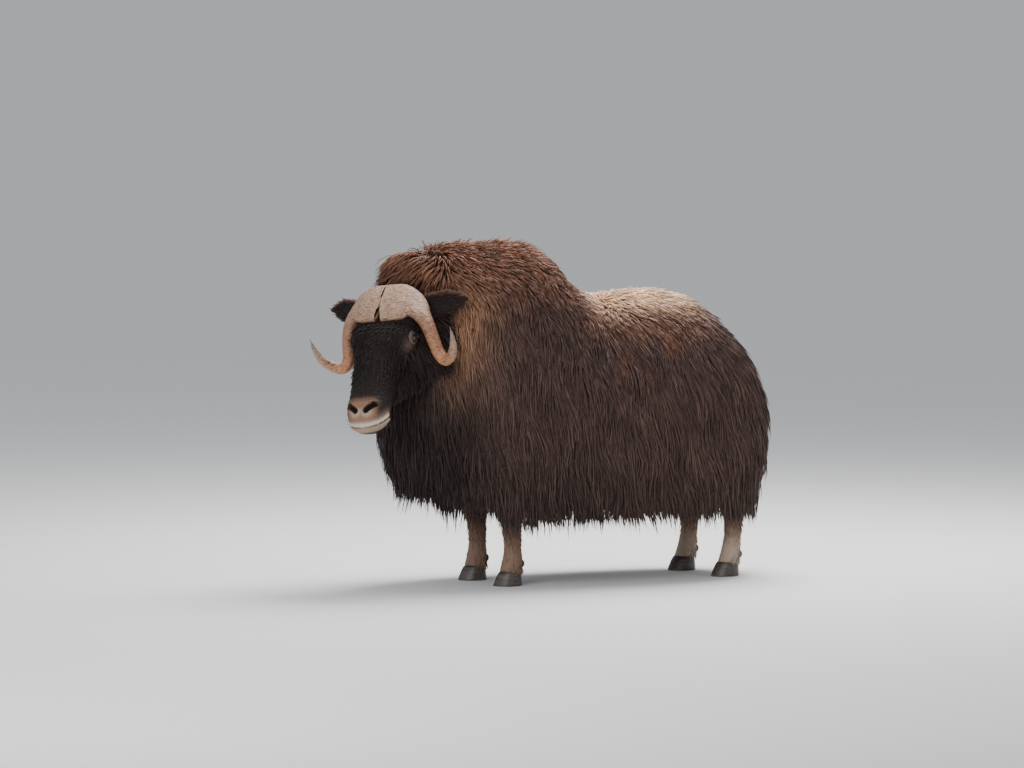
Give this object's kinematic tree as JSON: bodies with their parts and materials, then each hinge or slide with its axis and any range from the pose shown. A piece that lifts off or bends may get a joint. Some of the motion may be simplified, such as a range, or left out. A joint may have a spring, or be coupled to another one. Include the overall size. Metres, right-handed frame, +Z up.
{
  "type": "muskox",
  "caption": "Life-size standing bull muskox with its head turned to its left: shoulder hump, long skirted coat, broad horn boss and hooked horns.",
  "frame": {"origin": "on the ground, under the middle of the whole animal's box", "axes": "+X towards the head end, +Y the animal's left, +Z up; the head itself is turned 38 degrees to the left"},
  "size_m": [2.0912, 0.7804, 1.4538],
  "materials": {
    "body_coat": "long dark brown guard hair, matte",
    "mane_coat": "long red brown mane hair, matte",
    "face_coat": "short black brown face hair, matte",
    "leg_coat": "short grey brown hair, matte",
    "horn": "fibrous tan horn with dark tips, satin",
    "hoof": "dark grey hoof horn, satin",
    "eye": "wet dark brown eye, gloss"
  },
  "bodies": {
    "root": {"rump": "body_coat", "barrel": "body_coat", "tail": "body_coat", "shoulders": "mane_coat", "neck": "mane_coat", "head": "face_coat", "ear_left": "face_coat", "ear_right": "face_coat", "leg_front_left": "leg_coat", "leg_front_right": "leg_coat", "leg_hind_left": "leg_coat", "leg_hind_right": "leg_coat", "horn_left": "horn", "horn_right": "horn", "hoof_front_left_outer": "hoof", "hoof_front_left_inner": "hoof", "hoof_front_right_outer": "hoof", "hoof_front_right_inner": "hoof", "hoof_hind_left_outer": "hoof", "hoof_hind_left_inner": "hoof", "hoof_hind_right_outer": "hoof", "hoof_hind_right_inner": "hoof", "eye_left": "eye", "eye_right": "eye"}
  },
  "joints": []
}
